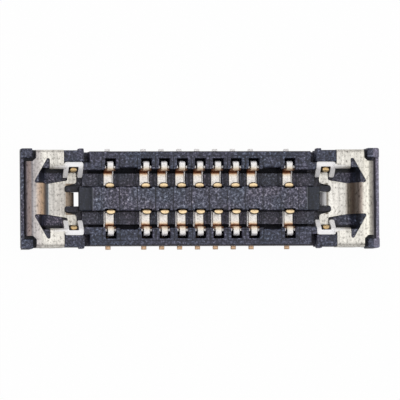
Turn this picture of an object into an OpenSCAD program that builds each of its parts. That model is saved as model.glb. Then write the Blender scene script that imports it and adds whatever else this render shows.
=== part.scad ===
// Two-row board-to-board receptacle for a flexible circuit.
// A moulded housing holds two rows of formed signal contacts, and a stamped power fitting
// sits over each end. X runs along the rows, Y across them and Z up from the board.
// Z = 0 is the solder plane, where the contact tails and the fittings' tabs end.

/* [Contact rows] */
// Pitch of the contact places along a row
pitch = 0.35; // [0.32:0.01:0.5]
// Contacts side by side in the middle of each row
middle_count = 7; // [3:2:11]
// Empty places between the middle group and the outer contact at each end
empty_places = 1; // [0:1:3]

/* [Signal contact] */
// Thickness of the contact strip
contact_t = 0.06; // [0.04:0.005:0.07]
// Width of the spring beam between the wall and the island
beam_w = 0.172; // [0.12:0.002:0.18]
// Width of the contact tip
tip_w = 0.166; // [0.11:0.002:0.17]
// Width of the low ledge along one side of the beam
ledge_w = 0.03; // [0.01:0.002:0.034]
// Drop from the beam's flat to the ledge
ledge_drop = 0.035; // [0.01:0.005:0.05]
// Width of the loop over the wall
crown_w = 0.12; // [0.08:0.005:0.14]
// Outside depth of the loop over the wall, across the row
crown_d = 0.175; // [0.15:0.005:0.18]
// Roundness of the loop: 0.5 is a half circle
crown_round = 0.45; // [0.35:0.01:0.48]
// Height of the loop above the board
crown_top = 0.5; // [0.44:0.01:0.52]
// Height of the shoulders that grip the slot
shoulder_top = 0.4; // [0.34:0.01:0.42]
// Height of the gripping part of the shoulders
shoulder_h = 0.1; // [0.05:0.01:0.14]
// Height of the beam's flat above the board
beam_top = 0.2; // [0.18:0.005:0.24]
// Height of the contact tip above the board
tip_top = 0.46; // [0.4:0.01:0.5]
// How far the tip curls back from the island
tip_curl = 0.036; // [0.01:0.002:0.04]
// Height of the tip above its last bend
tip_bend_drop = 0.07; // [0.06:0.005:0.1]
// Bend radius below the curled tip, at mid strip
tip_bend_r = 0.05; // [0.034:0.002:0.06]
// How far the foot of the rising arm stands back from the tip
arm_lean = 0.012; // [0.0:0.002:0.03]
// How far the tip stands into its pocket in the island's side
tip_inset = 0.008; // [0.002:0.002:0.02]
// Radius of the tip's rounded corners
tip_r = 0.05; // [0.02:0.005:0.055]
// Bend radius between tail and outer leg, at mid strip
tail_bend_r = 0.04; // [0.036:0.002:0.06]
// Bend radius between inner leg and flat, at mid strip
beam_bend_r = 0.09; // [0.05:0.005:0.1]
// Bend radius between flat and rising arm, at mid strip
arm_bend_r = 0.06; // [0.04:0.005:0.08]
// Width of the solder tail
tail_w = 0.1; // [0.06:0.005:0.11]
// Reach of the solder tail beyond the wall
tail_out = 0.066; // [0.04:0.002:0.2]

/* [Housing] */
// Gap between the housing and the board
lift = 0.02; // [0.01:0.005:0.03]
// Height of the long walls above the board
wall_top = 0.53; // [0.5:0.01:0.6]
// Thickness of a long wall
wall_t = 0.308; // [0.28:0.004:0.4]
// Clear width of each groove between the island and a wall
groove_w = 0.372; // [0.35:0.004:0.44]
// Swelling of the wall's inner face beside each contact
boss_t = 0.028; // [0.01:0.002:0.04]
// Height of the low floor, which also carries the end fittings
floor_top = 0.09; // [0.08:0.005:0.1]
// Height of the raised floor strip between contacts
strip_top = 0.2; // [0.16:0.005:0.24]
// Gap between the raised floor strip and the island
strip_gap = 0.022; // [0.01:0.002:0.04]
// Width of the raised floor strip
strip_w = 0.24; // [0.16:0.004:0.26]
// Height of the ribs on the raised floor strip
rib_h = 0.025; // [0.01:0.005:0.04]
// Width of the ribs on the raised floor strip
rib_w = 0.04; // [0.02:0.005:0.06]
// Width of the island
island_w = 0.456; // [0.4:0.004:0.56]
// Height of the island above the board
island_top = 0.47; // [0.42:0.01:0.5]
// Height of the island's lower end steps
island_step_top = 0.38; // [0.3:0.01:0.41]
// Length of each lower end step of the island
island_step_l = 0.25; // [0.15:0.005:0.3]
// Reach of the island beyond the long walls
island_past = 0.195; // [0.16:0.005:0.26]
// Width of the contact slots
slot_w = 0.22; // [0.21:0.002:0.24]
// Wall thickness outside the contact slots
slot_skin = 0.131; // [0.1:0.002:0.15]
// Gap between the loop and the outer end of its slot
slot_gap = 0.047; // [0.02:0.002:0.06]
// Depth of the island's side pockets behind the contact tips
tip_room = 0.034; // [0.024:0.002:0.05]
// Side of the square core hole under each contact
core_hole = 0.09; // [0.05:0.005:0.12]
// Width of the relief under the island
relief_w = 0.24; // [0.1:0.01:0.3]
// Depth of the relief under the island
relief_d = 0.05; // [0.02:0.01:0.1]
// Size of the chamfer along the top edges
edge_cut = 0.015; // [0.005:0.001:0.025]

/* [Housing ends] */
// Length of wall beyond the outer contact
wall_past = 0.405; // [0.3:0.005:0.6]
// Length of the low recess between wall and side block
recess_l = 0.115; // [0.06:0.005:0.2]
// Height of the recess above the board
recess_top = 0.14; // [0.12:0.01:0.4]
// Length of each side block
block_l = 0.386; // [0.36:0.002:0.46]
// Width of each side block, across the rows
block_w = 0.217; // [0.18:0.002:0.26]
// How far the side blocks stand out past the walls
block_out = 0.022; // [0.01:0.002:0.04]
// Length of the crush rib on each side block
crush_l = 0.1; // [0.05:0.005:0.15]
// How far a crush rib stands out past its side block
crush_out = 0.036; // [0.01:0.002:0.05]
// Height of the crush ribs
crush_h = 0.2; // [0.1:0.01:0.4]
// Length of the neck between a side flat and its corner block
neck_l = 0.063; // [0.03:0.003:0.1]
// Height of the corner necks above the board
neck_top = 0.38; // [0.36:0.01:0.48]
// Length of each corner block
corner_l = 0.227; // [0.2:0.005:0.3]
// Width of each corner block, across the rows
corner_w = 0.18; // [0.15:0.005:0.24]
// How far the corner blocks stand out past the walls
corner_out = 0.06; // [0.04:0.002:0.1]
// Height of the corner blocks above the board
corner_top = 0.54; // [0.5:0.01:0.62]
// Corner radius of the corner blocks
corner_r = 0.035; // [0.01:0.005:0.06]
// Thickness of the end rims
rim_t = 0.092; // [0.06:0.002:0.12]
// Gap between an end rim and the bend of the fitting's skirt
rim_gap = 0.03; // [0.01:0.002:0.04]
// Depth of that gap below the rim's top
rim_gap_d = 0.12; // [0.05:0.01:0.14]
// Height of the end rims above the board
rim_top = 0.5; // [0.4:0.01:0.54]
// How far the foot of each end is set back under its rim
foot_in = 0.05; // [0.02:0.005:0.07]
// Height of the rims' lower outer edge above the board
foot_top = 0.35; // [0.2:0.01:0.4]
// How far the island's end face is set back below its top edge
end_in = 0.03; // [0.01:0.002:0.04]
// Height of the island's end face above that setback
end_edge_h = 0.05; // [0.02:0.005:0.08]
// Length of the island's prongs beside the fitting's lip
prong_l = 0.25; // [0.2:0.005:0.3]
// Height of the prongs above the board
prong_top = 0.2; // [0.17:0.005:0.3]
// Width of the notch between the prongs
notch_w = 0.278; // [0.2:0.002:0.3]
// Width of each prong
prong_w = 0.107; // [0.08:0.002:0.12]
// Corner radius of the prongs
prong_r = 0.05; // [0.01:0.002:0.052]

/* [End fitting] */
// Thickness of the fitting's sheet
fit_t = 0.07; // [0.05:0.005:0.08]
// Height of the fitting above the board
fit_top = 0.56; // [0.54:0.01:0.64]
// Length of the flats over the side walls
flat_l = 0.545; // [0.5:0.005:0.7]
// How far the fitting's skirts stand out past the walls
skirt_out = 0.034; // [0.02:0.002:0.05]
// Outside radius of the bend over the end rim
end_bend_r = 0.114; // [0.09:0.002:0.13]
// Outside radius of the bends over the side walls
side_bend_r = 0.09; // [0.075:0.005:0.11]
// Length of the ring over the end wall, from the skirt to the slope's top corner
ring_l = 0.28; // [0.24:0.005:0.3]
// Horizontal run of the sloping tongue
slope_run = 0.17; // [0.1:0.005:0.2]
// Bend radius at the top of the slope, at mid sheet
slope_top_r = 0.09; // [0.05:0.005:0.1]
// Bend radius at the foot of the slope, at mid sheet
slope_foot_r = 0.05; // [0.04:0.005:0.08]
// Reach of the windows' outer points past the middle of the flats
window_l = 0.324; // [0.24:0.002:0.34]
// Reach of the windows' side points past the wall's inner face
window_d = 0.272; // [0.1:0.004:0.28]
// Corner radius of the windows
window_r = 0.034; // [0.01:0.002:0.04]
// Height of the skirts' plain lower edges above the board
skirt_end = 0.1; // [0.06:0.01:0.14]
// Width of the tongue
tongue_w = 0.604; // [0.5:0.004:0.64]
// How much the plate widens on each side towards its arms
plate_flare = 0.06; // [0.02:0.005:0.08]
// Bend radius of the solder lip, at mid sheet
lip_r = 0.09; // [0.05:0.005:0.09]
// Gap between the island's end and the solder lip
lip_gap = 0.06; // [0.03:0.005:0.1]
// Width of each spring arm
arm_w = 0.176; // [0.12:0.002:0.18]
// Width of the contact tip on an arm
arm_tip_w = 0.12; // [0.08:0.005:0.14]
// Height of the arm tips above the board
arm_tip_top = 0.46; // [0.4:0.01:0.5]
// Distance from the arm tips' rising faces to the wall's inner face
arm_tip_in = 0.06; // [0.05:0.005:0.08]
// Rounding of the arms' inner bends
arm_bow = 0.06; // [0.03:0.005:0.08]
// Bend radius at the foot of an arm tip, at mid sheet
arm_foot_r = 0.042; // [0.042:0.002:0.06]
// Bend radius at the top of an arm tip, at mid sheet
arm_tip_r = 0.042; // [0.042:0.002:0.06]
// Depth of the rolled inner edges of the side flats
roll_h = 0.16; // [0.1:0.01:0.2]
// Inward reach of the side flats past the wall's inner face
roll_in = 0.025; // [0.0:0.005:0.04]
// Length of the guide arches along the rows
arch_l = 0.373; // [0.34:0.003:0.38]
// Width of the arches' legs
arch_leg_w = 0.09; // [0.06:0.005:0.095]
// Height of the arches above the board
arch_top = 0.49; // [0.45:0.005:0.52]
// Width of the arches' top bar, across the rows
arch_bar_w = 0.095; // [0.07:0.005:0.11]
// Height of the arches' leg ends above the board
arch_end_top = 0.23; // [0.18:0.01:0.28]
// Reach of the arches over the groove, from the wall's inner face
arch_in = 0.19; // [0.14:0.005:0.22]
// Corner radius of the arches
arch_r = 0.045; // [0.01:0.005:0.05]
// Corner radius of the arches' leg ends
arch_end_r = 0.026; // [0.01:0.002:0.028]
// Length of the solder tabs under the side skirts
tab_l = 0.3; // [0.2:0.01:0.4]
// Gap around pieces that are set into the moulding
seat_gap = 0.006; // [0.005:0.001:0.01]

/* [Hidden] */
$fn = 24;
ARC_STEPS = 4;
// How far a cut runs past what it cuts, and how far joined pieces run into each other
OVER = 1;
LAP = 0.015;

// Places of the contacts, counted in pitches from the middle
half_count = (middle_count - 1) / 2;
outer_place = half_count + 1 + empty_places;
places = [-outer_place, for (i = [-half_count:half_count]) i, outer_place];

// Distances from the middle along X
row_end = outer_place * pitch;
wall_end = row_end + wall_past;
block_start = wall_end + recess_l;
block_end = block_start + block_l;
flat_start = block_end + seat_gap;
flat_end = flat_start + flat_l;
corner_start = flat_end + neck_l;
body_end = corner_start + corner_l;
skirt_x = body_end - rim_t;
island_end = wall_end + island_past;
island_main_end = island_end - island_step_l;
prong_end = island_end + prong_l;
lip_x = island_end + lip_gap + fit_t / 2;
slope_top_x = skirt_x - ring_l;
slope_foot_x = slope_top_x - slope_run;
plate_start = slope_foot_x - slope_foot_r;
arch_start = block_start + seat_gap;
arch_end = arch_start + arch_l;
arch_mid_x = arch_start + arch_l / 2;
arm_in_x = arch_mid_x - arm_w / 2;
arm_out_x = arch_mid_x + arm_w / 2;
window_x = flat_start + flat_l / 2;
window_tip_x = window_x + window_l;

// Distances from the middle along Y
island_y = island_w / 2;
wall_in = island_y + groove_w;
wall_out = wall_in + wall_t;
boss_in = wall_in - boss_t;
strip_in = island_y + strip_gap;
strip_out = strip_in + strip_w;
slot_out = wall_out - slot_skin;
crown_out = slot_out - slot_gap;
crown_in = crown_out - crown_d;
tail_end = wall_out + tail_out;
block_y = wall_out + block_out;
block_in = block_y - block_w;
skirt_y = wall_out + skirt_out;
core_y = skirt_y - fit_t;
corner_y = wall_out + corner_out;
corner_in = corner_y - corner_w;
neck_in = corner_in - neck_l;
roll_y = wall_in - roll_in;
arch_out = block_in - seat_gap;
arch_in_y = wall_in - arch_in;
notch_y = notch_w / 2;
prong_y = notch_y + prong_w;
tongue_y = tongue_w / 2;
plate_y = tongue_y + plate_flare;
window_apex_y = wall_in + window_d;
arm_rise_y = wall_in - arm_tip_in;
arm_end_y = arm_rise_y - fit_t / 2;

// The end fitting's folds, at the middle of its sheet
fit_mid = fit_top - fit_t / 2;
plate_mid = floor_top + fit_t / 2;
arch_mid = arch_top - fit_t / 2;
skirt_mid_x = skirt_x - fit_t / 2;
skirt_mid_y = skirt_y - fit_t / 2;
roll_mid_y = roll_y + fit_t / 2;

housing_colour = [0.2, 0.21, 0.26];
nickel_colour = [0.86, 0.83, 0.76];
gold_colour = [0.93, 0.84, 0.66];

function unit(v) = v / norm(v);
function turn_left(v) = [-v[1], v[0]];
function reverse(list) = [for (i = [len(list) - 1:-1:0]) list[i]];
function mirror_y(list) = [for (p = reverse(list)) [p[0], -p[1]]];

// A closed outline from its right half, which starts and ends on the middle line
function whole(half) = concat(half, [for (i = [len(half) - 2:-1:1]) [-half[i][0], half[i][1]]]);

// The arc of radius r that replaces corner b between a and c
function corner_arc(a, b, c, r) =
  let (
    u = unit(a - b),
    v = unit(c - b),
    half = acos(u * v) / 2,
    centre = b + unit(u + v) * r / sin(half),
    from = b + u * r / tan(half) - centre,
    to = b + v * r / tan(half) - centre,
    sweep = 180 - 2 * half
  )
  r == 0
    ? [b]
    : [for (i = [0:ARC_STEPS])
        centre + (sin(sweep * (1 - i / ARC_STEPS)) * from + sin(sweep * i / ARC_STEPS) * to) / sin(sweep)];

// An open path with its inner corners rounded
function bent_path(points, radii) = [
  points[0],
  for (i = [1:len(points) - 2]) each corner_arc(points[i - 1], points[i], points[i + 1], radii[i - 1]),
  points[len(points) - 1]
];

// A closed outline with every corner rounded by its own radius
function round_outline(points, radii) =
  let (n = len(points))
  [for (i = [0:n - 1]) each corner_arc(points[(i + n - 1) % n], points[i], points[(i + 1) % n], radii[i])];

// The path moved sideways by d, to the left where d is positive
function beside(path, d) =
  let (n = len(path))
  [for (i = [0:n - 1])
    let (
      before = unit(path[max(i, 1)] - path[max(i, 1) - 1]),
      after = unit(path[min(i, n - 2) + 1] - path[min(i, n - 2)]),
      out = unit(turn_left(before + after))
    )
    path[i] + out * d / (out * turn_left(before))];

// The outline of a sheet of thickness t that follows the path at its middle
function sheet_outline(path, t) = concat(beside(path, t / 2), reverse(beside(path, -t / 2)));

// A profile drawn in X and Z, extruded along Y from one place to another
module along_y(from, to) {
  translate([0, to, 0])
    rotate([90, 0, 0])
      linear_extrude(height = to - from) children();
}

// A profile drawn in Y and Z, extruded along X from one place to another
module along_x(from, to) {
  translate([from, 0, 0])
    rotate([90, 0, 90])
      linear_extrude(height = to - from) children();
}

module box(x, y, z) {
  translate([x[0], y[0], z[0]])
    cube([x[1] - x[0], y[1] - y[0], z[1] - z[0]]);
}

// Both sides of the middle, across the rows
module both_sides() {
  children();
  mirror([0, 1, 0]) children();
}

// Both ends of the connector
module both_ends() {
  children();
  rotate([0, 0, 180]) children();
}

// X-Z path of the fitting: skirt, ring, sloping tongue, plate and solder lip
fitting_path = bent_path(
  [
    [skirt_mid_x, skirt_end],
    [skirt_mid_x, fit_mid],
    [slope_top_x, fit_mid],
    [slope_foot_x, plate_mid],
    [lip_x, plate_mid],
    [lip_x, 0]
  ],
  [end_bend_r - fit_t / 2, slope_top_r, slope_foot_r, lip_r]
);
// Y-Z path of a side flat: skirt, flat and rolled inner edge
side_path = bent_path(
  [
    [skirt_mid_y, 0],
    [skirt_mid_y, fit_mid],
    [roll_mid_y, fit_mid],
    [roll_mid_y, fit_top - roll_h]
  ],
  [side_bend_r - fit_t / 2, fit_t / 2 + seat_gap]
);
// Y-Z path of an arm's rising tip
arm_path = bent_path(
  [
    [arm_end_y - fit_t, plate_mid],
    [arm_rise_y, plate_mid],
    [arm_rise_y, arm_tip_top - fit_t],
    [arm_rise_y + fit_t / 2, arm_tip_top - fit_t / 4]
  ],
  [arm_foot_r, arm_tip_r]
);
// Y-Z path of a guide arch: top bar and sloping legs
arch_path = bent_path(
  [
    [arch_out, arch_mid],
    [arch_out - arch_bar_w, arch_mid],
    [arch_in_y, arch_end_top - fit_t / 2]
  ],
  [fit_t]
);

// Signal contacts. Each stands in its own frame with the tail towards +Y, as in the back row,
// and the front row's are turned half round.
leg_mid = crown_out - contact_t / 2;
inner_leg_mid = crown_in + contact_t / 2;
crown_mid_r = crown_round * (leg_mid - inner_leg_mid);
beam_mid = beam_top - contact_t / 2;
arm_mid = island_y - tip_inset + contact_t / 2;
contact_path = bent_path(
  [
    [tail_end, contact_t / 2],
    [leg_mid, contact_t / 2],
    [leg_mid, crown_top - contact_t / 2],
    [inner_leg_mid, crown_top - contact_t / 2],
    [inner_leg_mid, beam_mid],
    [arm_mid + arm_lean, beam_mid],
    [arm_mid, tip_top - tip_bend_drop],
    [arm_mid + tip_curl, tip_top - contact_t / 4]
  ],
  [tail_bend_r, crown_mid_r, crown_mid_r, beam_bend_r, arm_bend_r, tip_bend_r]
);
beam_from = -(beam_w + ledge_w) / 2;
beam_to = beam_from + beam_w;
tip_from = (beam_from + beam_to - tip_w) / 2;
tip_to = tip_from + tip_w;
ledge_to = beam_to + ledge_w;
ledge_top = beam_top - ledge_drop;
pocket_floor = ledge_top - contact_t;
core_mid_y = strip_out - core_hole;

module signal_contact() {
  color(gold_colour) {
    intersection() {
      along_x(-slot_w / 2, slot_w / 2)
        polygon(sheet_outline(contact_path, contact_t));
      union() {
        // Solder tail
        box([-tail_w / 2, tail_w / 2], [leg_mid, tail_end + OVER], [-OVER, crown_top / 2]);
        // Loop over the wall
        box([-crown_w / 2, crown_w / 2], [crown_in - contact_t, crown_out], [-OVER, crown_top + OVER]);
        // Shoulders that grip the slot
        box(
          [-slot_w / 2, slot_w / 2],
          [crown_in - contact_t, crown_in + contact_t],
          [shoulder_top - shoulder_h, shoulder_top]
        );
        // Inner leg, flat and foot of the rising arm
        box(
          [beam_from, beam_to],
          [island_y - tip_room, crown_in + contact_t],
          [-OVER, shoulder_top - shoulder_h]
        );
        // Rising arm with a rounded tip
        along_y(island_y - tip_room, strip_in + 2 * contact_t)
          polygon(round_outline(
            [[tip_from, beam_top], [tip_to, beam_top], [tip_to, tip_top], [tip_from, tip_top]],
            [0, 0, tip_r, tip_r]
          ));
      }
    }
    // Low ledge beside the flat
    box([beam_to - LAP, ledge_to], [island_y + seat_gap, crown_in], [pocket_floor, ledge_top]);
  }
}

// What the housing leaves free for one contact
module contact_pocket() {
  // Slot from the island to the wall's outer skin
  box([-slot_w / 2, slot_w / 2], [island_y - tip_room, slot_out], [pocket_floor, wall_top + OVER]);
  // Tunnel of the solder tail
  box(
    [-tail_w / 2 - seat_gap, tail_w / 2 + seat_gap],
    [leg_mid, wall_out + OVER],
    [-OVER, contact_t / 2 + tail_bend_r + seat_gap]
  );
  // Shaft of the outer leg
  box(
    [-crown_w / 2 - seat_gap, crown_w / 2 + seat_gap],
    [crown_out - contact_t - seat_gap, crown_out + seat_gap],
    [-OVER, pocket_floor]
  );
  // Core hole under the flat
  box(
    [-core_hole / 2, core_hole / 2],
    [core_mid_y - core_hole / 2, core_mid_y + core_hole / 2],
    [-OVER, pocket_floor]
  );
}

// Repeats a contact's shape at every place of both rows
module at_every_contact() {
  both_ends()
    for (p = places)
      translate([p * pitch, 0, 0]) children();
}

// Housing. The middle is one moulded section carried along X, with lower steps at its ends.
function section(core_h, with_strip, in_y, wall_h, out_y) = concat(
  [
    [0, core_h],
    [island_y - edge_cut, core_h],
    [island_y, core_h - edge_cut],
    [island_y, floor_top]
  ],
  with_strip
    ? [[strip_in, floor_top], [strip_in, strip_top], [strip_out, strip_top], [strip_out, floor_top]]
    : [],
  [
    [in_y, floor_top],
    [in_y, wall_h - edge_cut],
    [in_y + edge_cut, wall_h],
    [out_y - edge_cut, wall_h],
    [out_y, wall_h - edge_cut],
    [out_y, lift],
    [0, lift]
  ]
);

module middle_of_housing() {
  along_x(-island_main_end, island_main_end)
    polygon(whole(section(island_top, true, wall_in, wall_top, wall_out)));
  both_ends() {
    along_x(island_main_end, wall_end)
      polygon(whole(section(island_step_top, true, wall_in, wall_top, wall_out)));
    along_x(wall_end, block_start)
      polygon(whole(section(island_step_top, true, wall_in, recess_top, wall_out)));
    along_x(block_start, island_end)
      polygon(whole(section(island_step_top, false, block_in, wall_top, block_y)));
  }
  // Wall swellings and floor ribs beside the contacts
  both_sides()
    for (p = places) {
      box([(p - 0.5) * pitch, (p + 0.5) * pitch], [boss_in, wall_in + LAP], [lift, wall_top - edge_cut]);
      for (s = [-0.5, 0.5])
        box(
          [(p + s) * pitch - rib_w / 2, (p + s) * pitch + rib_w / 2],
          [strip_in, strip_out],
          [lift, strip_top + rib_h]
        );
    }
}

// Side blocks with their crush ribs, from the island's end to the fitting's flats
module side_blocks() {
  both_sides() {
    along_x(island_end, block_end)
      polygon([
        [0, lift],
        [block_y, lift],
        [block_y, wall_top - edge_cut],
        [block_y - edge_cut, wall_top],
        [block_in + edge_cut, wall_top],
        [block_in, wall_top - edge_cut],
        [block_in, floor_top],
        [0, floor_top]
      ]);
    translate([0, 0, rim_top - crush_h])
      linear_extrude(height = crush_h)
        polygon(round_outline(
          [
            [block_start, wall_out],
            [block_start + crush_l, wall_out],
            [block_start + crush_l, block_y + crush_out],
            [block_start, block_y + crush_out]
          ],
          [0, 0, crush_out / 2, crush_out / 2]
        ));
  }
}

// One of the two prongs at the island's end
module prong() {
  translate([0, 0, lift])
    linear_extrude(height = prong_top - lift)
      polygon(round_outline(
        [
          [island_end - LAP, notch_y],
          [prong_end, notch_y],
          [prong_end, prong_y],
          [island_end - LAP, prong_y]
        ],
        [0, prong_r, prong_r, 0]
      ));
}

// The moulding under the fitting follows the underside of its sheet
fitting_under = beside(fitting_path, fit_t / 2);
side_under = beside(side_path, fit_t / 2);
under_end = [for (i = [0:3 * ARC_STEPS + 3]) fitting_under[i]];
under_side = [for (i = [1:ARC_STEPS + 1]) side_under[i]];

module end_core() {
  // Sloping seat of the tongue, across the whole end
  along_y(-neck_in, neck_in)
    polygon(concat(under_end, [[plate_start, lift], [skirt_x - fit_t, lift]]));
  // Cores of the side flats, with a ledge under the rolled edge
  both_sides() {
    translate([0, 0, lift])
      linear_extrude(height = fit_top - fit_t - lift)
        polygon([
          [flat_end - LAP, neck_in - LAP],
          [corner_start, neck_in - LAP],
          [corner_start, neck_in],
          [flat_end, corner_in],
          [flat_end - LAP, corner_in]
        ]);
    along_x(block_end, window_x)
      polygon(concat(
        [[core_y, lift]],
        under_side,
        [
          [roll_y + fit_t + 2 * seat_gap, fit_top - fit_t],
          [roll_y + fit_t, fit_top - fit_t - 2 * seat_gap],
          [roll_y + fit_t, fit_top - roll_h],
          [wall_in, fit_top - roll_h],
          [wall_in, floor_top],
          [0, floor_top],
          [0, lift]
        ]
      ));
    along_x(window_x, flat_end)
      polygon(concat(
        [[core_y, lift]],
        under_side,
        [[wall_in, fit_top - fit_t], [wall_in, floor_top], [0, floor_top], [0, lift]]
      ));
  }
}

module corner_blocks() {
  both_sides() {
    // Neck that the fitting's sheet is cut round
    translate([0, 0, lift])
      linear_extrude(height = neck_top - lift)
        polygon([
          [corner_start, neck_in],
          [body_end - foot_in, neck_in],
          [body_end - foot_in, skirt_y],
          [flat_end, skirt_y],
          [flat_end, core_y - seat_gap],
          [flat_end - LAP, core_y - seat_gap],
          [flat_end - LAP, corner_in - LAP]
        ]);
    // Corner block with its top edges chamfered
    intersection() {
      translate([0, 0, lift])
        linear_extrude(height = corner_top - lift)
          polygon(round_outline(
            [
              [corner_start, corner_in],
              [body_end, corner_in],
              [body_end, corner_y],
              [corner_start, corner_y]
            ],
            [corner_r / 2, edge_cut / 2, corner_r, corner_r / 2]
          ));
      along_y(corner_in - OVER, corner_y + OVER)
        polygon(overhang(corner_start, corner_top));
      along_x(corner_start - OVER, body_end + OVER)
        polygon(chamfered_top(corner_in, corner_y, corner_top));
    }
  }
  // End rim outside the fitting's skirt, and the base under the skirt
  along_y(-neck_in, neck_in)
    polygon(overhang(skirt_x + rim_gap, rim_top));
  box([skirt_x, skirt_x + rim_gap + LAP], [-neck_in, neck_in], [lift, rim_top - rim_gap_d]);
  box([skirt_x - fit_t, skirt_x + LAP], [-neck_in, neck_in], [lift, skirt_end]);
  both_sides()
    box([skirt_x + rim_gap, body_end], [neck_in - LAP, corner_in + LAP], [foot_top, rim_top - edge_cut]);
}

// Profile of an end's outer edge: a foot, the overhang above it and a chamfered top
function overhang(from, height) = [
  [from, lift],
  [body_end - foot_in, lift],
  [body_end - foot_in, foot_top - foot_in],
  [body_end, foot_top],
  [body_end, height - edge_cut],
  [body_end - edge_cut, height],
  [from + edge_cut, height],
  [from, height - edge_cut]
];

// Profile of a block whose top edges are chamfered
function chamfered_top(from, to, height) = [
  [from, 0],
  [to, 0],
  [to, height - edge_cut],
  [to - edge_cut, height],
  [from + edge_cut, height],
  [from, height - edge_cut]
];

module housing() {
  color(housing_colour)
    difference() {
      union() {
        middle_of_housing();
        both_ends() {
          side_blocks();
          both_sides() prong();
          end_core();
          corner_blocks();
        }
      }
      at_every_contact() contact_pocket();
      both_ends()
        union() {
          box([island_end, lip_x + lip_r + seat_gap], [-notch_y, notch_y], [-OVER, floor_top + OVER]);
          // The island's end face is set back below its top edge
          box([island_end - end_in, island_end + LAP], [-notch_y, notch_y], [-OVER, island_step_top - end_edge_h]);
        }
      // Shallow relief along the underside of the island
      box([-row_end, row_end], [-relief_w / 2, relief_w / 2], [-OVER, lift + relief_d]);
    }
}

// End fitting, drawn for the +X end. Its paths run at the middle of the sheet.
module end_fitting() {
  color(nickel_colour) {
    top_sheet();
    // Skirt inside the end rim, and the ring's outer bend
    intersection() {
      along_y(-neck_in + seat_gap, neck_in - seat_gap)
        polygon(sheet_outline(fitting_path, fit_t));
      box([skirt_x - end_bend_r - LAP, skirt_x + OVER], [-OVER, OVER], [0, fit_top + OVER]);
    }
    // Sloping tongue
    intersection() {
      along_y(-tongue_y, tongue_y)
        polygon(sheet_outline(fitting_path, fit_t));
      box([plate_start, skirt_x - end_bend_r], [-OVER, OVER], [0, fit_top + OVER]);
    }
    // Solder lip between the prongs
    intersection() {
      along_y(-notch_y + seat_gap, notch_y - seat_gap)
        polygon(sheet_outline(fitting_path, fit_t));
      box([0, prong_end + seat_gap + LAP], [-OVER, OVER], [-OVER, fit_top]);
    }
    plate_and_arms();
    both_sides() {
      side_skirt();
      rolled_edge();
      guide_arch();
      arm_tip();
    }
  }
}

// Flat sheet over the end wall and side walls, with its two triangular windows
module top_sheet() {
  half = [
    [skirt_x - end_bend_r, neck_in - seat_gap],
    [corner_start, neck_in - seat_gap],
    [flat_end - seat_gap, corner_in - seat_gap],
    [flat_end - seat_gap, skirt_y - side_bend_r],
    [flat_start, skirt_y - side_bend_r],
    [flat_start, roll_y + fit_t],
    [window_x, roll_y + fit_t],
    [window_x, window_apex_y],
    [window_tip_x, tongue_y],
    [slope_top_x + slope_top_r, tongue_y]
  ];
  radii = [0, 0, 0, 0, 0, 0, 0, window_r, window_r, 0];
  translate([0, 0, fit_top - fit_t])
    linear_extrude(height = fit_t)
      polygon(round_outline(concat(half, mirror_y(half)), concat(radii, reverse(radii))));
}

// Floor plate, flaring into an arm on each side of the prongs
module plate_and_arms() {
  half = [
    [plate_start, tongue_y],
    [arm_out_x, plate_y],
    [arm_out_x, arm_end_y],
    [arm_in_x, arm_end_y],
    [arm_in_x, prong_y + arm_bow],
    [prong_end + seat_gap, prong_y + seat_gap],
    [prong_end + seat_gap, notch_y - seat_gap],
    [prong_end - prong_r, notch_y - seat_gap]
  ];
  radii = [0, arm_bow / 2, 0, 0, arm_bow, prong_r, prong_r, 0];
  translate([0, 0, floor_top])
    linear_extrude(height = fit_t)
      polygon(round_outline(concat(half, mirror_y(half)), concat(radii, reverse(radii))));
}

// Contact tip that rises from an arm inside its arch
module arm_tip() {
  along_x(arch_mid_x - arm_tip_w / 2, arch_mid_x + arm_tip_w / 2)
    polygon(sheet_outline(arm_path, fit_t));
}

// Skirt outside a side wall, with its solder tab
module side_skirt() {
  intersection() {
    along_x(flat_start, flat_end - seat_gap)
      polygon(sheet_outline(side_path, fit_t));
    union() {
      box([0, body_end], [skirt_y - side_bend_r - LAP, skirt_y + OVER], [skirt_end, fit_top + OVER]);
      box([window_x - tab_l / 2, window_x + tab_l / 2], [core_y - LAP, skirt_y + OVER], [-OVER, skirt_end]);
    }
  }
}

// Rolled inner edge of a side flat, running on to the arch
module rolled_edge() {
  intersection() {
    along_x(arch_end - fit_t / 2, window_x)
      polygon(sheet_outline(side_path, fit_t));
    box([0, body_end], [0, roll_y + fit_t + LAP], [0, fit_top + OVER]);
  }
}

// Arch over the tip of an arm: a top bar with two legs that slope down into the groove
module guide_arch() {
  intersection() {
    along_x(arch_start, arch_end)
      polygon(sheet_outline(arch_path, fit_t));
    linear_extrude(height = fit_top)
      polygon(round_outline(
        [
          [arch_start, arch_in_y],
          [arch_start, arch_out],
          [arch_end, arch_out],
          [arch_end, arch_in_y],
          [arch_end - arch_leg_w, arch_in_y],
          [arch_end - arch_leg_w, arch_out - arch_bar_w],
          [arch_start + arch_leg_w, arch_out - arch_bar_w],
          [arch_start + arch_leg_w, arch_in_y]
        ],
        [arch_end_r, arch_r, arch_r, arch_end_r, arch_end_r, arch_r / 4, arch_r / 4, arch_end_r]
      ));
  }
}

housing();
end_fitting();  // end_fitting_right
rotate([0, 0, 180]) end_fitting();  // end_fitting_left
for (i = [1:len(places)])
  translate([places[i - 1] * pitch, 0, 0]) signal_contact();
for (i = [1:len(places)])
  translate([places[i - 1] * pitch, 0, 0]) rotate([0, 0, 180]) signal_contact();
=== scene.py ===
import math

import bmesh
import bpy
import numpy as np
from mathutils import Matrix


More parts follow.
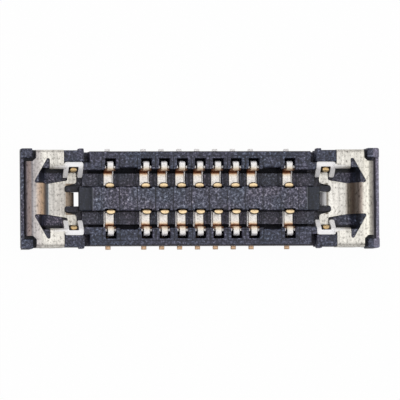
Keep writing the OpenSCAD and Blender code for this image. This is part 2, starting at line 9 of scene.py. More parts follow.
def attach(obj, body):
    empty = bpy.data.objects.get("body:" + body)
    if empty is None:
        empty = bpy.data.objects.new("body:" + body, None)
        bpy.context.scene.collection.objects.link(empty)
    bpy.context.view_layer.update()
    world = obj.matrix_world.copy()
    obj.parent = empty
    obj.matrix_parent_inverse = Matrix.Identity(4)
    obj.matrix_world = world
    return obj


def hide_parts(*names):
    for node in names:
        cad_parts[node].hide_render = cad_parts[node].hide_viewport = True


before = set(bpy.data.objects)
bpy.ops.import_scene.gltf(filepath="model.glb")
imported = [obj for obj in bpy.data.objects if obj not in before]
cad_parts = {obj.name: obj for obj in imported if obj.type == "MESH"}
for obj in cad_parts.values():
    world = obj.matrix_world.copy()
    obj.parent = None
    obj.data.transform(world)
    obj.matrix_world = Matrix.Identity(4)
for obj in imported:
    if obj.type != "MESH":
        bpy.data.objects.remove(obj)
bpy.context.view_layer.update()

MM = 0.001

# Housing. One moulding in black liquid-crystal polymer filled with short glass fibres, which
# show as pale flecks on every skin. Fine witness lines cross it where the mould's inserts
# meet, half a pitch from each contact. The CAD solid has its true form, so it is kept.
# Sizes are in millimetres. "Out" is the distance from the middle along X, and "off" along Y.
pitch = 0.35
top = 0.56
insert_out, insert_off = 1.93, 0.818
channel_off, channel_top, channel_out = 0.488, 0.16, 2.15
seat_out, seat_top = 2.65, 0.3
seat_dark_out, seat_dark_top = (2.97, 3.01), 0.46
seat_band_off, seat_band_end = (0.495, 0.515), 0.66
step_out, step_off, step_bottom = (2.1, 2.4), 0.26, 0.3
step_edge_out, step_edge_off, step_edge_width = 2.096, 0.21, (0.006, 0.014)
prong_out, prong_off = (2.34, 2.62), 0.28
right_rim_out = 3.38
wall_face_off, wall_face_out, wall_edge_height = 0.892, 2.16, (0.34, 0.46)
island_off = 0.228
frame_line_width = (0.003, 0.009)
# Where a witness line starts and is full, in shares of a pitch
witness_line = (0.462, 0.486)
# Cells of noise in a metre, and the values that fine noise mostly has
fleck_cells, drift_cells, streak_cells = 24000, 1700, 21000
most_noise = (0.3, 0.7)
# Height of the skin's bumps, and the gloss of the skin and of the slots
skin_relief = 0.007
skin_gloss, slot_gloss = 0.5, 0.12


class Recipe:
    """The nodes of one finish. Each method adds a node or a few and gives the socket of the result.
    It takes sockets or plain numbers and colours, and limits and widths in millimetres."""

    def __init__(self, owner):
        owner.use_nodes = True
        self.nodes, self.link = owner.node_tree.nodes, owner.node_tree.links.new

    def put(self, value, socket):
        """Links a socket, or sets a plain value."""
        if isinstance(value, bpy.types.NodeSocket):
            self.link(value, socket)
        else:
            socket.default_value = (*value, 1) if socket.type == "RGBA" else value

    def step(self, kind, result, inputs, **settings):
        """A node of any kind, with its settings, and its inputs by name or number."""
        node = self.nodes.new(f"ShaderNode{kind}")
        for setting, value in settings.items():
            setattr(node, setting, value)
        for slot, value in inputs.items():
            self.put(value, node.inputs[slot])
        return node.outputs[result]

    def place(self, space="Object"):
        """The place on the piece, whole and along X, Y and Z."""
        whole = self.step("TexCoord", space, {})
        axes = self.nodes.new("ShaderNodeSeparateXYZ")
        self.link(whole, axes.inputs["Vector"])
        return whole, *axes.outputs

    def mark(self, name):
        """The value of one of the mesh's attributes."""
        return self.step("Attribute", "Fac", {}, attribute_name=name)

    def math(self, operation, *values):
        """One sum."""
        return self.step("Math", "Value", dict(enumerate(values)), operation=operation)

    def product(self, *factors):
        """All the factors multiplied together."""
        result = factors[0]
        for factor in factors[1:]:
            result = self.math("MULTIPLY", result, factor)
        return result

    def away(self, along):
        """The distance from the middle along an axis, on either side."""
        return self.math("ABSOLUTE", along)

    def zone(self, *limits):
        """1 where every (distance, lowest, highest) holds, and 0 elsewhere. None is no limit."""
        inside = []
        for distance, lowest, highest in limits:
            if lowest is not None:
                inside.append(self.math("GREATER_THAN", distance, lowest * MM))
            if highest is not None:
                inside.append(self.math("LESS_THAN", distance, highest * MM))
        return self.product(*inside)

    def spread(self, value, start, end, low=0.0, high=1.0):
        """The value moved from start..end to low..high, and held there."""
        ends = {"From Min": start, "From Max": end, "To Min": low, "To Max": high}
        return self.step("MapRange", "Result", {"Value": value, **ends})

    def fade(self, distance, start, end, low=0.0, high=1.0):
        """The same for a distance, with its start and end in millimetres."""
        return self.spread(distance, start * MM, end * MM, low, high)

    def near(self, distance, middle, inner, outer, share=1.0):
        """The share where a distance is within inner of its middle, falling to 0 at outer."""
        off_middle = self.away(self.math("SUBTRACT", distance, middle * MM))
        return self.fade(off_middle, inner, outer, low=share, high=0.0)

    def ramp(self, value, stops):
        """The colour for a value, from a ramp through the (value, colour) stops."""
        ramp = self.nodes.new("ShaderNodeValToRGB")
        first, last = ramp.color_ramp.elements
        first.position, first.color = stops[0][0], (*stops[0][1], 1)
        last.position, last.color = stops[-1][0], (*stops[-1][1], 1)
        for position, colour in stops[1:-1]:
            ramp.color_ramp.elements.new(position).color = (*colour, 1)
        self.link(value, ramp.inputs["Fac"])
        return ramp.outputs["Color"]

    def tinted(self, ground, tint, share=1.0, blend="MULTIPLY"):
        """The ground colour times a tint, as far as the share goes."""
        inputs = {"Factor": share, "A": ground, "B": tint}
        return self.step("Mix", "Result", inputs, data_type="RGBA", blend_type=blend)

    def painted(self, ground, paint, share, cover=1.0):
        """The ground colour covered with a paint, as far as the share times the cover goes."""
        share = share if cover == 1.0 else self.product(share, cover)
        return self.tinted(ground, paint, share, "MIX")

    def speckle(self, place, cells, detail, roughness=0.6):
        """Fine noise of so many cells in a metre."""
        inputs = {"Vector": place, "Scale": cells, "Detail": detail, "Roughness": roughness}
        return self.step("TexNoise", "Fac", inputs)

    def drawn_out(self, place, share):
        """The place with its Y scaled to a share, which draws a pattern out along Y."""
        return self.step("Mapping", "Vector", {"Vector": place, "Scale": (1, share, 1)})

    def finish(self, results, bumps, strength, relief):
        """Puts the results on the shader's inputs. The relief is the full height of the bumps."""
        skin = self.nodes["Principled BSDF"].inputs
        for name, result in results.items():
            self.put(result, skin[name])
        height = {"Height": bumps, "Strength": strength, "Distance": relief * MM}
        self.put(self.step("Bump", "Normal", height), skin["Normal"])


def moulded_plastic(name):
    """Dark moulding skin. The colour is a ramp over fine noise, so that flecks show where the noise
    is high, times a slow drift, times painted shade that changes with height, darker low down.
    Zones of the moulding are darker or paler, most of them painted shade and painted light, and
    the witness lines, where X is half a pitch off a whole pitch, are darker."""
    material = bpy.data.materials.new(name)
    recipe = Recipe(material)
    place, x, y, z = recipe.place()

    # Glass flecks near the skin
    grain = recipe.speckle(place, fleck_cells, detail=3, roughness=0.8)
    flecks = recipe.ramp(grain, (
        (0.34, (0.006, 0.007, 0.014)),
        (0.43, (0.024, 0.026, 0.042)),
        (0.52, (0.075, 0.078, 0.110)),
        (0.60, (0.20, 0.205, 0.25)),
        (0.70, (0.62, 0.62, 0.66)),
    ))
    # Slow drift of the black towards blue and towards violet
    drift = recipe.ramp(recipe.speckle(place, drift_cells, detail=2), (
        (0.38, (0.85, 0.95, 1.02)),
        (0.62, (1.04, 0.94, 1.0)),
    ))
    colour = recipe.tinted(flecks, drift)
    # Painted shade by share of the height: the foot of the walls is brownish, and the floors are dark
    height_shade = recipe.ramp(recipe.fade(z, 0.0, top), (
        (0.0, (0.70, 0.38, 0.30)),
        (0.16, (0.62, 0.54, 0.55)),
        (0.34, (0.72, 0.70, 0.74)),
        (0.60, (0.46, 0.50, 0.62)),
        (0.72, (0.46, 0.50, 0.62)),
        (0.80, (0.94, 0.94, 0.98)),
        (0.90, (0.94, 0.94, 0.98)),
        (0.93, (0.44, 0.49, 0.60)),
        (1.0, (0.88, 0.90, 0.98)),
    ))
    colour = recipe.tinted(colour, height_shade)
    out, off = recipe.away(x), recipe.away(y)

    # Painted shade: the grooves' outer channels and the slots are painted nearly black, as the shade deep
    # in them
    shaded_channel = recipe.zone((off, channel_off, None), (z, None, channel_top), (out, None, channel_out))
    colour = recipe.painted(colour, (0.003, 0.004, 0.008), shaded_channel, cover=0.86)
    # The seats in the ends are paler, with painted shade: a dark foot, and black bands of painted shadow
    # under the rolled edges
    seat = recipe.zone((out, seat_out, None), (z, None, seat_top))
    colour = recipe.tinted(colour, (1.8, 1.95, 2.05), seat)
    seat_foot_shade = recipe.product(recipe.fade(out, *seat_dark_out), recipe.zone((z, None, seat_dark_top)))
    colour = recipe.tinted(colour, (0.30, 0.30, 0.32), seat_foot_shade)
    rolled_edge_shadow = recipe.product(recipe.fade(off, *seat_band_off), recipe.zone((off, None, seat_band_end)), seat)
    colour = recipe.tinted(colour, (0.08, 0.08, 0.10), rolled_edge_shadow)
    # The island's low ends are painted dark as painted shade, and their upper edge carries a painted
    # highlight
    step = recipe.zone((out, *step_out), (off, None, step_off), (z, step_bottom, None))
    colour = recipe.painted(colour, (0.009, 0.013, 0.021), step, cover=0.75)
    edge = recipe.near(out, step_edge_out, *step_edge_width)
    edge = recipe.product(edge, recipe.zone((off, None, step_edge_off)))
    colour = recipe.painted(colour, (0.12, 0.13, 0.15), edge, cover=0.7)
    # Painted shade on the low prongs at the island's ends
    prong_shade = recipe.zone((out, *prong_out), (off, None, prong_off))
    colour = recipe.tinted(colour, (0.22, 0.20, 0.26), prong_shade)
    # Painted light: the right end's rim is painted paler and plainer than the left one's, as the side the
    # light falls on
    right_rim_light = recipe.zone((x, right_rim_out, None))
    colour = recipe.tinted(colour, (2.6, 2.4, 2.5), right_rim_light)
    colour = recipe.painted(colour, (0.21, 0.195, 0.23), right_rim_light, cover=0.5)
    # Painted shade: the walls' upper outer edges are rounded and are painted dark where they turn from the
    # light
    wall_edge_shade = recipe.zone((off, wall_face_off, None), (out, None, wall_face_out))
    wall_edge_shade = recipe.product(wall_edge_shade, recipe.fade(z, *wall_edge_height, low=0.1))
    colour = recipe.tinted(colour, (0.32, 0.24, 0.25), wall_edge_shade)
    # The island was drawn out of the mould along Y and carries faint streaks
    streak = recipe.speckle(recipe.drawn_out(place, share=0.12), streak_cells, detail=2)
    streak = recipe.spread(streak, 0.36, 0.62, low=0.72, high=1.22)
    colour = recipe.tinted(colour, streak, recipe.zone((off, None, island_off)))
    # Witness lines across the part, and the frame line along the outer ends of the inserts
    wave = recipe.math("PINGPONG", recipe.math("DIVIDE", x, pitch * MM), 0.5)
    across = recipe.product(recipe.spread(wave, *witness_line), recipe.zone((off, None, insert_off)))
    frame_line = recipe.near(off, insert_off, *frame_line_width, share=0.8)
    lines = recipe.math("MAXIMUM", across, frame_line)
    lines = recipe.product(lines, recipe.zone((out, None, insert_out)))
    colour = recipe.painted(colour, (0.006, 0.007, 0.012), lines, cover=0.9)

    # Satin gloss that varies with the grain, and a skin that the grain and the lines roughen
    results = {
        "Base Color": colour,
        "Roughness": recipe.spread(grain, *most_noise, low=0.38, high=0.62),
        "Specular IOR Level": recipe.spread(shaded_channel, 0.0, 1.0, low=skin_gloss, high=slot_gloss),
    }
    recipe.finish(results, bumps=recipe.math("SUBTRACT", grain, lines), strength=0.6, relief=skin_relief)
    return material


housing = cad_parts["housing"]
housing_plastic = moulded_plastic("glass_filled_black")
housing.data.materials[0] = housing_plastic

# Wall ends. Beyond the last contact each wall of the moulding is thicker on the inside and runs on
# to the side block, so that the recess beside the block is open only towards the outside.
wall_end_outline = np.array([
    [1.87, 0.556], [2.268, 0.556], [2.268, 0.69], [2.15, 0.69], [2.15, 0.61], [1.87, 0.61],
])
wall_end_heights = (0.1, 0.53)
wall_end_round = 0.008


def upright_prism(outline, heights):
    """Points and faces of the outline stood up between two heights."""
    count = len(outline)
    points = np.concatenate([np.column_stack([outline, np.full(count, height)]) for height in heights])
    sides = [(i, (i + 1) % count, (i + 1) % count + count, i + count) for i in range(count)]
    return points, sides + [tuple(range(count))[::-1], tuple(range(count, 2 * count))]


def set_in_scene(mesh, material):
    """A new object with the mesh and its material."""
    mesh.materials.append(material)
    piece = bpy.data.objects.new(mesh.name, mesh)
    bpy.context.collection.objects.link(piece)
    return piece


for row, toward_y in (("front", -1), ("back", 1)):
    for end, toward_x in (("left", -1), ("right", 1)):
        # The outline is read backwards where one mirror turns its faces round
        outline = wall_end_outline[:: toward_x * toward_y] * (toward_x, toward_y)
        points, faces = upright_prism(outline, wall_end_heights)
        mesh = bpy.data.meshes.new(f"wall_end_{row}_{end}")
        mesh.from_pydata((points * MM).tolist(), [], faces)
        wall_end = set_in_scene(mesh, housing_plastic)
        rounding = wall_end.modifiers.new("moulded edge", "BEVEL")
        rounding.width = wall_end_round * MM
        rounding.segments = 2
        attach(wall_end, "root")

# Signal contacts. Each is one strip of copper alloy, blanked, formed and pressed into its slot:
# a solder tail, an outer leg, a loop over the wall, shoulders that bite the slot, a flat and a
# rising arm whose rounded tip touches the plug. It is nickel plated, with gold on the tip.
contact_places = (-5, -3, -2, -1, 0, 1, 2, 3, 5)
strip_t = 0.06
# The strip's middle line, as (off, height) of its corners, and the radius of each bend
contact_corners = np.array([
    [0.974, 0.03], [0.70, 0.03], [0.692, 0.47], [0.565, 0.47],
    [0.565, 0.17], [0.236, 0.17], [0.229, 0.43], [0.312, 0.43],
])
contact_bends = (0.04, 0.036, 0.044, 0.09, 0.034, 0.036)
# Share of the way along the strip, and where its two edges run across
contact_edges = np.array([
    # Tail and outer leg
    [0.0, -0.05, 0.05],
    [0.15, -0.05, 0.05],
    # Loop
    [0.20, -0.06, 0.06],
    [0.500, -0.06, 0.06],
    # Shoulders
    [0.504, -0.108, 0.108],
    [0.560, -0.108, 0.108],
    # Flat
    [0.575, -0.101, 0.071],
    [0.80, -0.101, 0.071],
    # Arm
    [0.84, -0.0975, 0.0795],
    [1.0, -0.0975, 0.0795],
])
# Straight bars on the strip: edges across, (off, height) of both ends, thickness
contact_bars = (
    # Low ledge beside the flat
    (0.064, 0.101, (0.548, 0.135), (0.232, 0.135), 0.056),
    # A barb on each shoulder
    (0.072, 0.107, (0.632, 0.412), (0.588, 0.406), 0.03),
    (-0.107, -0.072, (0.632, 0.412), (0.588, 0.406), 0.03),
)
# The tip is rounded over its last stretch, down to a share of its width, and both ends are thinned
tip_round, tip_blunt = 0.06, 0.12
end_round, end_blunt = 0.014, 0.1
# Squareness of the section and points around it, for the strip and for a bar
strip_section, bar_section = (5, 24), (8, 16)
strip_step, bar_rings = 0.02, 14
# Shares of the way along the strip: the loop's middle and half length, the tail's end and the tip
loop_place, loop_half, tail_end, tip_start = 0.415, (0.06, 0.09), 0.34, 0.9
# The gold spot's middle, beside its pitch and off the part's middle, and its half sizes
tip_beside, tip_off, spot_half_w, spot_half_d = 0.009, 0.252, 0.077, 0.04
tin_metallic, nickel_metallic = 0.25, 0.8
# Noise: how far it breaks up the tints' edges, its cells in a metre, and its bumps' height
ragged_reach, ragged_cells, contact_fleck_cells = 0.02, 14000, 30000
contact_relief = 0.003


def bent_line(corners, bends, steps=10):
    """Middle line of a formed strip: straight runs between corners, each inner corner replaced by
    the arc of its bend's radius that touches both runs, cut into equal turns."""
    line = [corners[:1]]
    for before, corner, after, radius in zip(corners[:-2], corners[1:-1], corners[2:], bends):
        back = (before - corner) / np.linalg.norm(before - corner)
        ahead = (after - corner) / np.linalg.norm(after - corner)
        half = np.arccos(back @ ahead) / 2
        middle = corner + (back + ahead) / np.linalg.norm(back + ahead) * radius / np.sin(half)
        first = corner + back * radius / np.tan(half) - middle
        last = corner + ahead * radius / np.tan(half) - middle
        whole = np.pi - 2 * half
        turn = np.linspace(0, 1, steps)[:, None] * whole
        line.append(middle + (np.sin(whole - turn) * first + np.sin(turn) * last) / np.sin(2 * half))
    line.append(corners[-1:])
    return np.concatenate(line)


def finer(line, step):
    """The same line with points added to its long runs, none further apart than step, and none
    closer than a sixth of it. It also gives each point's distance along the line."""
    run = np.linalg.norm(np.diff(line, axis=0), axis=1)
    at = np.concatenate([[0], np.cumsum(run)])
    even = np.arange(0, at[-1], step)
    where = np.unique(np.round(np.concatenate([at, even]), 5))
    where = where[np.concatenate([[True], np.diff(where) > step / 6])]
    return where, np.stack([np.interp(where, at, line[:, i]) for i in (0, 1)], axis=1)


def rounded_square(squareness, around):
    """Points of the superellipse |a|^n + |b|^n = 1, at equal turns."""
    turn = np.linspace(0, 2 * np.pi, around, endpoint=False)
    return [np.sign(wave) * np.abs(wave) ** (2 / squareness) for wave in (np.cos(turn), np.sin(turn))]


def rounded_end(left, reach, blunt):
    """Share of the full size at a distance left to an end: the height of a quarter circle that rises
    over the reach, with the blunt share of its square kept at the very end."""
    return np.sqrt(np.clip(1 - (1 - np.clip(left / reach, 0, 1)) ** 2, blunt, 1))


def carried_section(where, line, low, high, thick, section):
    """Skin of a strip: the section (a, b) stands at each point of the line, with a running across
    the strip from low to high and b square to the line, over the strip's thickness."""
    along = np.gradient(line, where, axis=0)
    along /= np.linalg.norm(along, axis=1)[:, None]
    a, b = section
    x = ((low + high) / 2)[:, None] + ((high - low) / 2)[:, None] * a
    y = line[:, :1] - along[:, 1:] * b * thick[:, None] / 2
    z = line[:, 1:] + along[:, :1] * b * thick[:, None] / 2
    return np.stack([x, y, z], axis=2)


def closed_faces(rings, around, start=0):
    """Quads between neighbouring rings of points, and one face over each end."""
    i, j = np.meshgrid(np.arange(rings - 1), np.arange(around), indexing="ij")
    k = (j + 1) % around
    corners = [i * around + j, i * around + k, (i + 1) * around + k, (i + 1) * around + j]
    faces = (np.stack(corners, axis=-1).reshape(-1, 4) + start).tolist()
    faces.append((np.arange(around)[::-1] + start).tolist())
    faces.append((np.arange(around) + (rings - 1) * around + start).tolist())
    return faces


def contact_skin():
    """Points, faces and place along the strip of one contact, in its own frame, tail towards +Y."""
    where, line = finer(bent_line(contact_corners, contact_bends), strip_step)
    stations, left_edge, right_edge = contact_edges.T
    low = np.interp(where, where[-1] * stations, left_edge)
    high = np.interp(where, where[-1] * stations, right_edge)
    # Both edges close in on the middle at the tip, and the strip thins at the tip and the tail
    left = where[-1] - where
    middle = (low + high) / 2
    rounding = rounded_end(left, tip_round, tip_blunt)
    low = middle + (low - middle) * rounding
    high = middle + (high - middle) * rounding
    thick = strip_t * rounded_end(np.minimum(left, where), end_round, end_blunt)
    skin = carried_section(where, line, low, high, thick, rounded_square(*strip_section))
    rings, around = skin.shape[:2]
    faces = closed_faces(rings, around)
    parts = [skin.reshape(-1, 3)]
    for low_x, high_x, start, end, bar_t in contact_bars:
        bar = carried_section(
            np.linspace(0, start[0] - end[0], bar_rings),
            np.linspace(start, end, bar_rings),
            *(np.full(bar_rings, size) for size in (low_x, high_x, bar_t)),
            rounded_square(*bar_section),
        )
        faces += closed_faces(bar_rings, bar_section[1], sum(len(part) for part in parts))
        parts.append(bar.reshape(-1, 3))
    points = np.concatenate(parts)
    # Place along the strip for the plating, where the bars count as part of the loop
    along = np.full(len(points), loop_place)
    along[: rings * around] = np.repeat(where / where[-1], around)
    return points * MM, faces, along


def half_sizes(recipe, distance, middle, half):
    """How far a distance is past its middle, in half sizes of a spot."""
    return recipe.math("MULTIPLY_ADD", distance, 1 / (half * MM), -middle / half)


def shaded_rim(recipe, colour, across, down, on_tip):
    """The colour with a dark rim of painted shade round an oval spot of gold, where a rounded tip falls
    away. The rim is where the squares of the half sizes across and down add up to 1, and past it."""
    oval = recipe.math("ADD", recipe.product(across, across), recipe.product(down, down))
    rim_shade = recipe.product(recipe.spread(oval, 0.8, 1.3), on_tip)
    return recipe.painted(colour, (0.05, 0.03, 0.02), rim_shade)


def plated_contact(name):
    """Nickel, gold on the tip and the tail, and painted reflection and shade: brown at the bends and down
    the inner leg, near-black up the rising arm. The tint is a ramp along the strip, and fine noise breaks
    its edges and flecks the flat."""
    material = bpy.data.materials.new(name)
    recipe = Recipe(material)
    place, x, y, _ = recipe.place()
    along = recipe.mark("along")
    ragged = recipe.speckle(place, ragged_cells, detail=3)
    # Painted reflection and shade along the strip: brown at the tail's bend and down the inner leg into the
    # flat, near-black up the rising arm. The gold of tail and tip and the white nickel are the metal's own
    tint = recipe.ramp(recipe.math("MULTIPLY_ADD", ragged, ragged_reach, along), (
        (0.0, (0.95, 0.66, 0.42)),
        (0.12, (0.66, 0.42, 0.28)),
        (0.20, (0.70, 0.50, 0.34)),
        (0.32, (0.90, 0.90, 0.95)),
        (0.40, (1.0, 0.98, 1.0)),
        (0.455, (1.0, 0.97, 0.93)),
        (0.475, (0.98, 0.84, 0.66)),
        (0.498, (0.95, 0.66, 0.42)),
        (0.52, (0.50, 0.22, 0.12)),
        (0.60, (0.42, 0.15, 0.07)),
        (0.65, (0.30, 0.10, 0.04)),
        (0.675, (0.50, 0.28, 0.16)),
        (0.69, (0.96, 0.82, 0.64)),
        (0.715, (0.97, 0.92, 0.86)),
        (0.80, (0.98, 0.94, 0.90)),
        (0.83, (0.94, 0.88, 0.82)),
        (0.86, (0.07, 0.04, 0.02)),
        (0.90, (0.10, 0.06, 0.03)),
        (0.925, (0.98, 0.66, 0.34)),
        (1.0, (1.0, 0.80, 0.50)),
    ))
    flecks = recipe.speckle(place, contact_fleck_cells, detail=2)
    colour = recipe.tinted(tint, recipe.spread(flecks, 0.36, 0.54, low=0.74))
    # The gold on the tip is an oval spot, ringed with painted shade where the tip falls away. Its place
    # across the strip is taken from the nearest whole pitch, and the tips stand beside it on opposite
    # sides in the two rows
    off_pitch = recipe.math("MULTIPLY_ADD", recipe.math("SIGN", y), tip_beside * MM, x)
    off_pitch = recipe.math("PINGPONG", recipe.math("DIVIDE", off_pitch, pitch * MM), 0.5)
    across = recipe.product(off_pitch, pitch / spot_half_w)
    down = half_sizes(recipe, recipe.away(y), tip_off, spot_half_d)
    colour = shaded_rim(recipe, colour, across, down, recipe.math("GREATER_THAN", along, tip_start))
    # The loop carries more tin, which is duller than the nickel
    off_loop = recipe.away(recipe.math("SUBTRACT", along, loop_place))
    results = {
        "Base Color": colour,
        "Metallic": recipe.spread(off_loop, *loop_half, low=tin_metallic, high=nickel_metallic),
        "Roughness": recipe.spread(ragged, *most_noise, low=0.24, high=0.42),
    }
    recipe.finish(results, bumps=flecks, strength=0.3, relief=contact_relief)
    return material


contact_metal = plated_contact("plated_contact_strip")
contact_points, contact_faces, contact_along = contact_skin()
for row, facing in (("front", -1), ("back", 1)):
    # Painted reflection: the back row's tails are painted as pale as its loops, for the light glancing off
    # their tops
    back_tail_highlight = (contact_along < tail_end) & (row == "back")
    plating = np.where(back_tail_highlight, loop_place, contact_along).astype(np.float32)
    for number, at_place in enumerate(contact_places, 1):
        # The front row's contacts are the back row's turned half round
        points = contact_points * (facing, facing, 1) + (at_place * (pitch * MM), 0, 0)
        mesh = bpy.data.meshes.new(f"formed_contact_{row}_{number}")
        mesh.from_pydata(points.tolist(), [], contact_faces)
        mesh.shade_smooth()
        mesh.attributes.new("along", "FLOAT", "POINT").data.foreach_set("value", plating)
        contact = set_in_scene(mesh, contact_metal)
        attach(contact, "root")
        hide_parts(f"contact_{row}_{number}")

# End fittings. Each is blanked and folded from one nickel-plated sheet: a ring and side flats
# over the end of the moulding, a tongue that slopes down to a plate with two sprung arms, and
# guide arches over the arms' tips. The edges are slightly rolled by the punch.
# In the solid, points nearer than this are one, and faces that turn by less lie flat together
merge_within, flat_within = 0.0004, math.radians(1)
edge_roll, roll_past, sharp_past = 0.012, math.radians(50), math.radians(30)
half_length = 3.5
tongue_off = 0.303
# The windows in the arches, and the gold spot on the arm tip in each
arch_middle, window_half, window_end = 2.4625, 0.09, 0.61
tip_low, tip_rise = 0.17, 0.08
gold_off, gold_half_x, gold_half_y = 0.552, 0.062, 0.042
arch_out, arch_low = 2.66, 0.2
lip_out, lip_off = 2.5, 0.16
# Middle and half length of the stains on the left tongue, and how far they fade
stains, stain_fade = ((-3.12, 0.075), (-2.47, 0.085)), 0.02
dull_metallic = 0.15
pit_cells, line_cells, sheet_relief = 25000, 19000, 0.004


def stamped_sheet(name):
    """Satin nickel. A cream ground with dark pits, where fine noise is low, times faint rolling lines
    across the part. Ramps over X paint light and shade on the folds and flats, one for the whole
    sheet and one for the tongue, and attributes mark the bright arches and the gilt arm tips."""
    material = bpy.data.materials.new(name)
    recipe = Recipe(material)
    place, x, y, _ = recipe.place()
    pits = recipe.speckle(recipe.drawn_out(place, share=0.7), pit_cells, detail=4, roughness=0.7)
    lines = recipe.speckle(recipe.drawn_out(place, share=0.08), line_cells, detail=3)
    ground = recipe.ramp(pits, (
        (0.30, (0.20, 0.18, 0.17)),
        (0.40, (0.62, 0.60, 0.56)),
        (0.48, (0.88, 0.86, 0.81)),
        (0.66, (0.98, 0.96, 0.90)),
    ))
    colour = recipe.tinted(ground, recipe.spread(lines, 0.36, 0.58, low=0.76, high=1.04))

    # Painted light and shade by place along X, in millimetres from the middle: a darker left end, dark
    # creases and bright folds
    def along_x(stops):
        share = recipe.fade(x, -half_length, half_length)
        length = 2 * half_length
        return recipe.ramp(share, [((mm + half_length) / length, tint) for mm, tint in stops])

    colour = recipe.tinted(colour, along_x((
        (-3.40, (0.52, 0.48, 0.56)),
        (-3.37, (0.60, 0.50, 0.52)),
        (-3.35, (0.42, 0.34, 0.34)),
        (-3.30, (0.30, 0.25, 0.25)),
        (-3.275, (0.27, 0.28, 0.33)),
        (-3.255, (0.54, 0.52, 0.55)),
        (-3.16, (0.70, 0.67, 0.69)),
        (-3.06, (0.98, 0.97, 0.95)),
        (-2.92, (1.0, 0.99, 0.97)),
        (-2.60, (0.80, 0.78, 0.75)),
        (2.60, (1.0, 0.99, 0.97)),
        (3.10, (0.92, 0.91, 0.88)),
        (3.24, (1.08, 1.06, 1.0)),
        (3.282, (1.0, 0.98, 0.92)),
        (3.294, (0.32, 0.31, 0.28)),
        (3.31, (0.52, 0.51, 0.48)),
        (3.39, (0.56, 0.54, 0.54)),
    )))
    out, off = recipe.away(x), recipe.away(y)
    on_tongue = recipe.zone((off, None, tongue_off))
    # Painted light and shade on the tongues: bright where a fold faces the light, brown and near-black
    # where it turns away
    colour = recipe.tinted(colour, along_x((
        # Left tongue: slope, fold, plate and lip
        (-3.22, (1.0, 1.0, 1.0)),
        (-3.195, (1.2, 1.1, 0.98)),
        (-3.165, (1.05, 0.86, 0.70)),
        (-3.10, (1.0, 0.74, 0.54)),
        (-3.05, (0.90, 0.62, 0.42)),
        (-3.02, (0.24, 0.16, 0.13)),
        (-2.97, (0.12, 0.12, 0.16)),
        (-2.935, (0.22, 0.30, 0.40)),
        (-2.905, (0.82, 0.82, 0.84)),
        (-2.60, (0.84, 0.83, 0.84)),
        (-2.57, (0.46, 0.36, 0.28)),
        (-2.46, (0.34, 0.27, 0.22)),
        # Right tongue: lip, plate, fold and slope
        (2.40, (1.0, 1.0, 1.05)),
        (2.47, (1.0, 0.98, 0.96)),
        (2.515, (0.20, 0.18, 0.15)),
        (2.54, (0.16, 0.14, 0.11)),
        (2.555, (1.14, 1.14, 1.15)),
        (2.88, (0.94, 0.94, 0.95)),
        (2.93, (0.40, 0.36, 0.33)),
        (2.965, (0.34, 0.30, 0.27)),
        (2.99, (0.17, 0.12, 0.10)),
        (3.03, (0.20, 0.15, 0.13)),
        (3.05, (0.42, 0.37, 0.36)),
        (3.09, (0.34, 0.29, 0.28)),
        (3.15, (0.52, 0.46, 0.44)),
        (3.19, (1.0, 1.0, 1.0)),
    )), on_tongue)
    arch, gilt = recipe.mark("arch"), recipe.mark("gilt")
    # The arch mark also covers the right solder lip, whose pale paint there is painted light
    colour = recipe.painted(colour, (1.0, 0.99, 1.0), arch)
    colour = recipe.painted(colour, (0.98, 0.74, 0.40), gilt)
    # The gold on each arm tip is an oval spot, ringed with painted shade where the tip falls away
    across = half_sizes(recipe, out, arch_middle, gold_half_x)
    down = half_sizes(recipe, off, gold_off, gold_half_y)
    colour = shaded_rim(recipe, colour, across, down, recipe.math("GREATER_THAN", gilt, 0.5))
    # The arches' thick tin and the left tongue's stained slope and lip are duller than the nickel
    dull = arch
    for middle, reach in stains:
        stain = recipe.product(recipe.near(x, middle, reach, reach + stain_fade), on_tongue)
        dull = recipe.math("MAXIMUM", dull, stain)
    results = {
        "Base Color": colour,
        "Metallic": recipe.spread(dull, 0.0, 1.0, low=nickel_metallic, high=dull_metallic),
        "Roughness": recipe.spread(pits, *most_noise, low=0.46, high=0.30),
    }
    recipe.finish(results, bumps=pits, strength=0.35, relief=sheet_relief)
    return material


sheet_metal = stamped_sheet("satin_nickel_sheet")
for end in ("left", "right"):
    shape = bmesh.new()
    shape.from_mesh(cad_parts[f"end_fitting_{end}"].data)
    bmesh.ops.remove_doubles(shape, verts=shape.verts, dist=merge_within * MM)
    bmesh.ops.dissolve_limit(shape, angle_limit=flat_within, verts=shape.verts, edges=shape.edges)
    mesh = bpy.data.meshes.new(f"stamped_fitting_{end}")
    shape.to_mesh(mesh)
    shape.free()
    mesh.materials.clear()
    # The arches are marked by their place, and so are the arm tips that stand in their windows
    places = np.empty(len(mesh.vertices) * 3)
    mesh.vertices.foreach_get("co", places)
    out, off, up = np.abs(places.reshape(-1, 3)).T / MM
    in_window = (np.abs(out - arch_middle) < window_half) & (off < window_end)
    # Painted light: the right fitting's solder lip is painted as pale as the arches, as the lit side of its
    # fold
    lit_lip = (out < lip_out) & (off < lip_off) & (end == "right")
    marks = {
        "arch": (out < arch_out) & (up > arch_low) & ~in_window | lit_lip,
        "gilt": in_window * np.clip((up - tip_low) / tip_rise, 0, 1),
    }
    for mark, values in marks.items():
        mesh.attributes.new(mark, "FLOAT", "POINT").data.foreach_set("value", values.astype(np.float32))
    fitting = set_in_scene(mesh, sheet_metal)
    roll = fitting.modifiers.new("punched edge", "BEVEL")
    roll.width = edge_roll * MM
    roll.segments = 2
    roll.limit_method = "ANGLE"
    roll.angle_limit = roll_past
    roll.harden_normals = True
    mesh.shade_smooth()
    mesh.set_sharp_from_angle(angle=sharp_past)
    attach(fitting, "root")
    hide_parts(f"end_fitting_{end}")

# Ground. A plain pale sheet under the part. The camera sees it as white paper, while the part
# stands on a plain surface that carries its shadow.
paper_half = 250
paper_grey, paper_roughness, paper_white_share = (0.86, 0.86, 0.86), 0.9, 0.97
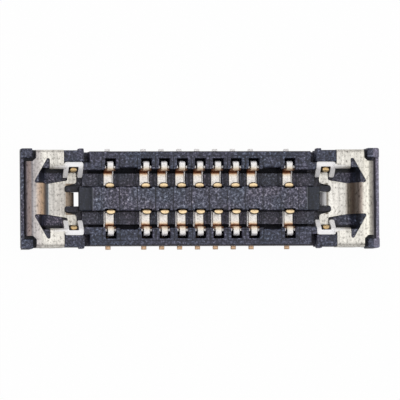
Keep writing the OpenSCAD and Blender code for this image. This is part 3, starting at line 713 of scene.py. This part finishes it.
# Under the rows of contacts, within these distances, the paper is only as bright as its light
shaded_out, shaded_off = 2.0, 0.84
paper_mesh = bpy.data.meshes.new("paper")
corners = np.array([[-1, -1, 0], [1, -1, 0], [1, 1, 0], [-1, 1, 0]])
paper_mesh.from_pydata((corners * paper_half * MM).tolist(), [], [(0, 1, 2, 3)])
paper_white = bpy.data.materials.new("paper_white")
paper_recipe = Recipe(paper_white)
paper_skin = paper_recipe.nodes["Principled BSDF"]
paper_recipe.put(paper_grey, paper_skin.inputs["Base Color"])
paper_recipe.put(paper_roughness, paper_skin.inputs["Roughness"])
_, paper_x, paper_y, _ = paper_recipe.place()
in_open = paper_recipe.math(
    "MAXIMUM",
    paper_recipe.zone((paper_recipe.away(paper_x), shaded_out, None)),
    paper_recipe.zone((paper_recipe.away(paper_y), shaded_off, None)),
)
seen = paper_recipe.step("LightPath", "Is Camera Ray", {})
white = paper_recipe.product(seen, in_open, paper_white_share)
glow = paper_recipe.step("Emission", "Emission", {})
lit_paper = paper_recipe.step("MixShader", "Shader", {"Fac": white, 1: paper_skin.outputs["BSDF"], 2: glow})
paper_recipe.put(lit_paper, paper_recipe.nodes["Material Output"].inputs["Surface"])
paper = set_in_scene(paper_mesh, paper_white)

# Light. A broad soft box overhead, a weaker one from the back left, and a pale room that
# darkens towards the horizon so that bends in the metal keep a dark side. The camera sees white.
room = bpy.data.worlds.new("pale_room")
bpy.context.scene.world = room
room_recipe = Recipe(room)
*_, room_up = room_recipe.place("Generated")
room_tone = room_recipe.ramp(room_up, (
    (0.0, (0.22, 0.20, 0.19)),
    (0.35, (0.46, 0.45, 0.45)),
    (0.9, (0.58, 0.58, 0.59)),
))
room_seen = room_recipe.step("LightPath", "Is Camera Ray", {})
room_tone = room_recipe.painted(room_tone, (1.0, 1.0, 1.0), room_seen)
room_recipe.put(room_tone, room_recipe.nodes["Background"].inputs["Color"])


def soft_box(name, place, size, watts, colour):
    """A square lamp at place, turned to face the middle of the part."""
    lamp = bpy.data.lights.new(name, "AREA")
    lamp.size = size
    lamp.energy = watts
    lamp.color = colour
    holder = bpy.data.objects.new(name, lamp)
    holder.location = place
    holder.rotation_euler = (-holder.location).to_track_quat("-Z", "Y").to_euler()
    bpy.context.collection.objects.link(holder)


soft_box("overhead_box", place=(0.02, 0.03, 0.12), size=0.24, watts=0.095, colour=(1, 0.99, 0.97))
soft_box("back_left_box", place=(-0.07, 0.07, 0.07), size=0.06, watts=0.02, colour=(0.96, 0.97, 1.0))

# Camera. It looks down from 150 mm, leaning 8.4 degrees to the left and 2.4 to the front, and it
# is rolled by an eighth of a degree, as the part is in the picture.
lean_left, lean_front, roll = math.radians(8.4), math.radians(2.4), math.radians(0.125)
distance = 0.15
aim = np.array([-0.000018, -0.000036, 0.00054])
camera_data = bpy.data.cameras.new("camera")
camera_data.sensor_width = 36
camera_data.lens = 699.3
camera_data.clip_start = 0.005
camera_data.clip_end = 5
camera = bpy.data.objects.new("camera", camera_data)
back = np.array([-math.tan(lean_left), -math.tan(lean_front), 1])
back /= np.linalg.norm(back)
upward = np.cross(back, (math.cos(roll), -math.sin(roll), 0))
upward /= np.linalg.norm(upward)
turned = np.eye(4)
turned[:3, :3] = np.stack([np.cross(upward, back), upward, back], axis=1)
turned[:3, 3] = aim + back * distance
camera.matrix_world = Matrix(turned.tolist())
bpy.context.collection.objects.link(camera)
bpy.context.scene.camera = camera
bpy.context.scene.view_settings.view_transform = "Standard"
